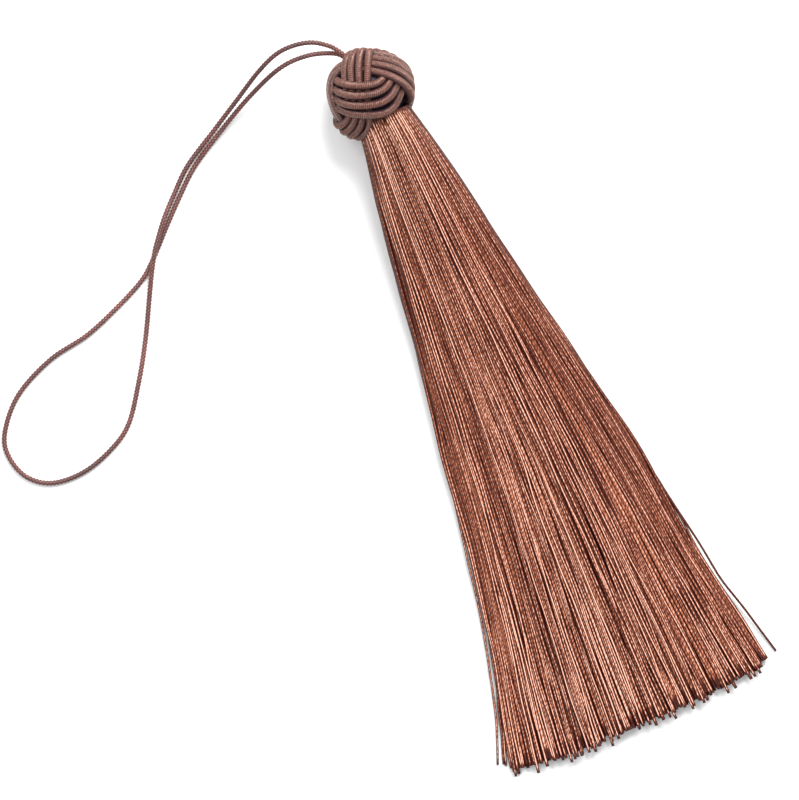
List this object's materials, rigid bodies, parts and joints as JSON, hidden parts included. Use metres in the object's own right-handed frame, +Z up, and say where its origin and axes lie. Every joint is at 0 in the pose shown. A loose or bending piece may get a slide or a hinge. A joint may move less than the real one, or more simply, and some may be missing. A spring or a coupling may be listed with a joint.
{
  "type": "silk tassel",
  "caption": "Tassel with a woven ball knot, a long fanned skirt of silky threads and a looped hanging cord, lying flat.",
  "frame": {"origin": "on the resting surface, under the middle of the ball and skirt", "axes": "+Y from the tips of the skirt to the top of the ball, +Z up from the surface that the tassel lies on"},
  "size_m": [0.1412, 0.1719, 0.0203],
  "materials": {
    "knot_cord": "matt twisted rayon cord, dusty red-brown",
    "skirt_thread": "silky two-ply thread, copper red-brown with a soft sheen",
    "hanging_cord": "fine round braid, red-brown"
  },
  "bodies": {
    "root": {"ball_knot": "knot_cord", "skirt": "skirt_thread", "hanging_cord": "hanging_cord"}
  },
  "joints": []
}
